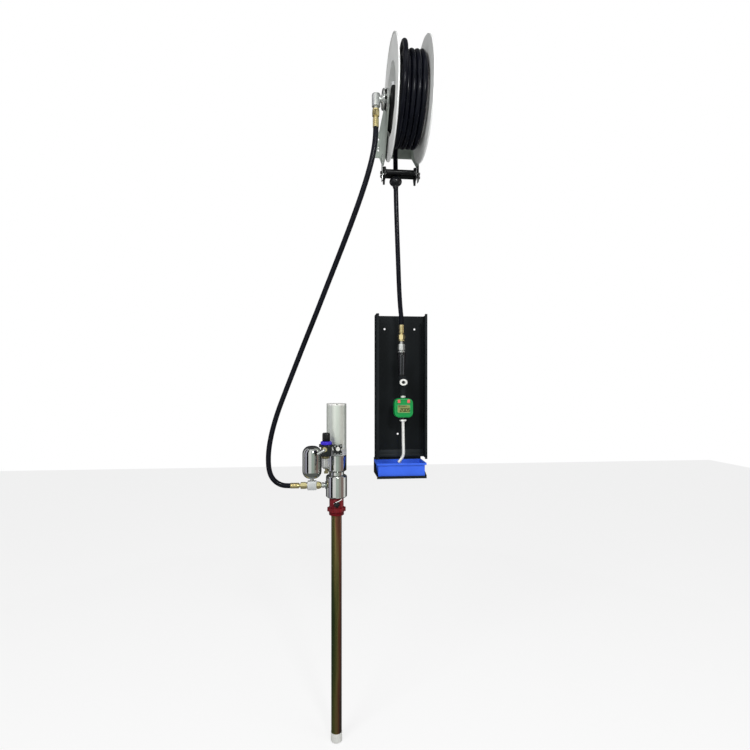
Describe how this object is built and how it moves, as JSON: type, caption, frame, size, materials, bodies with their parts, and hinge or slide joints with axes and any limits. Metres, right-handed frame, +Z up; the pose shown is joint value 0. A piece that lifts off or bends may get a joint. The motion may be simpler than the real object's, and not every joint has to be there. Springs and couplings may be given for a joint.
{
  "type": "gear oil pump",
  "caption": "Air-operated drum pump with a long suction tube, linked by hose to a wall reel with a metered gun that hangs in a console over a drip tray.",
  "frame": {"origin": "middle of the reel's four-bolt wall pattern, on the wall plane", "axes": "+Z up, +X to the right of someone facing the wall, -Y out from the wall"},
  "size_m": [0.6467, 0.498, 2.659],
  "materials": {
    "grey_paint": "satin grey enamel",
    "zinc_steel": "grey-green coated steel",
    "bright_steel": "bright plated steel",
    "dark_steel": "blackened steel",
    "hose_rubber": "black hose cover",
    "black_plastic": "matte black",
    "brass": "turned brass",
    "chrome": "polished",
    "cylinder_alloy": "satin anodised",
    "alloy": "machined",
    "console_paint": "black powder coat",
    "tray_blue": "blue plastic",
    "meter_green": "green plastic",
    "button_red": "salmon red",
    "ring_blue": "blue-violet plastic",
    "adapter_red": "dark red enamel",
    "tube_steel": "drawn steel with a brownish film",
    "spring_steel": "oiled spring steel"
  },
  "bodies": {
    "frame": {"wall_base_plate": "zinc_steel", "side_arm_left": "zinc_steel", "side_arm_right": "zinc_steel", "reel_axle": "bright_steel", "arm_bolts": "dark_steel", "swivel_body": "bright_steel", "guide_straps": "bright_steel", "guide_brackets": "black_plastic", "ball_stop": "hose_rubber", "drop_hose": "hose_rubber", "inlet_hose": "hose_rubber", "hose_ferrules": "brass", "hose_nuts": "brass", "console_panel": "console_paint", "drip_shelf": "console_paint", "gun_swivel": "bright_steel", "bung_adapter": "adapter_red", "lower_body": "chrome", "upper_body": "chrome", "gland_nut": "brass", "air_motor_base": "alloy", "air_cylinder": "cylinder_alloy", "air_cylinder_cap": "alloy", "cap_screws": "dark_steel", "suction_tube": "tube_steel", "foot_valve": "bright_steel", "air_valve_block": "black_plastic", "air_fittings": "bright_steel", "regulator_body": "black_plastic", "regulator_ring": "ring_blue", "filter_bowl": "alloy", "outlet_nipple": "bright_steel", "outlet_adapter": "brass", "tee_block": "bright_steel", "surge_tank": "chrome"},
    "drum": {"drum_core": "grey_paint", "flange_left": "grey_paint", "flange_right": "grey_paint", "wound_hose": "hose_rubber", "rewind_spring": "spring_steel"},
    "pawl": {"pawl": "bright_steel"},
    "roller_front": {"roller_front": "black_plastic"},
    "roller_rear": {"roller_rear": "black_plastic"},
    "piston": {"air_piston": "alloy", "piston_rod": "bright_steel", "pump_piston": "alloy"},
    "foot_ball": {"foot_ball": "bright_steel"},
    "regulator_knob": {"regulator_knob": "black_plastic"},
    "drain_cock": {"drain_cock": "bright_steel"},
    "clamp_knob": {"clamp_knob": "black_plastic"},
    "star_ring": {"star_ring": "adapter_red"},
    "gun": {"gun_handle": "black_plastic", "gun_valve": "console_paint", "gun_fasteners": "bright_steel", "meter_housing": "meter_green", "spout_tube": "bright_steel"},
    "trigger": {"gun_trigger": "dark_steel"},
    "button_left": {"meter_button_left": "button_red"},
    "button_right": {"meter_button_right": "button_red"},
    "tray": {"drip_tray": "tray_blue"}
  },
  "joints": [
    {"name": "drum_spin", "type": "hinge", "parent": "frame", "child": "drum", "pos_m": [0, -0.29, 0.032], "axis": [1, 0, 0], "continuous": true},
    {"name": "pawl_lift", "type": "hinge", "parent": "frame", "child": "pawl", "pos_m": [0.045, -0.22072, -0.008], "axis": [-1, 0, 0], "range_deg": [0, 10], "stiffness_Nm_per_rad": 0.3, "springref_deg": -5.73},
    {"name": "guide_roller_front", "type": "hinge", "parent": "frame", "child": "roller_front", "pos_m": [0, -0.1401, -0.167], "axis": [1, 0, 0], "continuous": true},
    {"name": "guide_roller_rear", "type": "hinge", "parent": "frame", "child": "roller_rear", "pos_m": [0, -0.0999, -0.167], "axis": [1, 0, 0], "continuous": true},
    {"name": "piston_stroke", "type": "slide", "parent": "frame", "child": "piston", "axis": [0, 0, 1], "range_m": [0, 0.07]},
    {"name": "foot_ball_lift", "type": "slide", "parent": "frame", "child": "foot_ball", "axis": [0, 0, 1], "range_m": [0, 0.005]},
    {"name": "regulator_turn", "type": "hinge", "parent": "frame", "child": "regulator_knob", "pos_m": [-0.2905, -0.15, -1.2], "axis": [0, 0, 1], "range_deg": [-180, 180]},
    {"name": "drain_turn", "type": "hinge", "parent": "frame", "child": "drain_cock", "pos_m": [-0.2905, -0.15, -1.333], "axis": [0, 0, 1], "range_deg": [0, 90]},
    {"name": "clamp_turn", "type": "hinge", "parent": "frame", "child": "clamp_knob", "pos_m": [-0.249, -0.112, -1.4715], "axis": [0, 1, 0], "range_deg": [-180, 180]},
    {"name": "star_ring_turn", "type": "hinge", "parent": "frame", "child": "star_ring", "pos_m": [-0.249, -0.08, -1.496], "axis": [0, 0, 1], "continuous": true},
    {"name": "gun_swivel", "type": "hinge", "parent": "frame", "child": "gun", "pos_m": [0.0135, -0.075, -0.8705], "axis": [0, 0, 1], "continuous": true},
    {"name": "trigger_pull", "type": "hinge", "parent": "gun", "child": "trigger", "pos_m": [0.02, -0.04, -0.9895], "axis": [1, 0, 0], "range_deg": [0, 8], "stiffness_Nm_per_rad": 3, "springref_deg": -5.73},
    {"name": "button_left_press", "type": "slide", "parent": "gun", "child": "button_left", "axis": [0, 1, 0], "range_m": [0, 0.0015], "stiffness_N_per_m": 400},
    {"name": "button_right_press", "type": "slide", "parent": "gun", "child": "button_right", "axis": [0, 1, 0], "range_m": [0, 0.0015], "stiffness_N_per_m": 400},
    {"name": "tray_slide", "type": "slide", "parent": "frame", "child": "tray", "axis": [0, -1, 0], "range_m": [0, 0.048]}
  ]
}
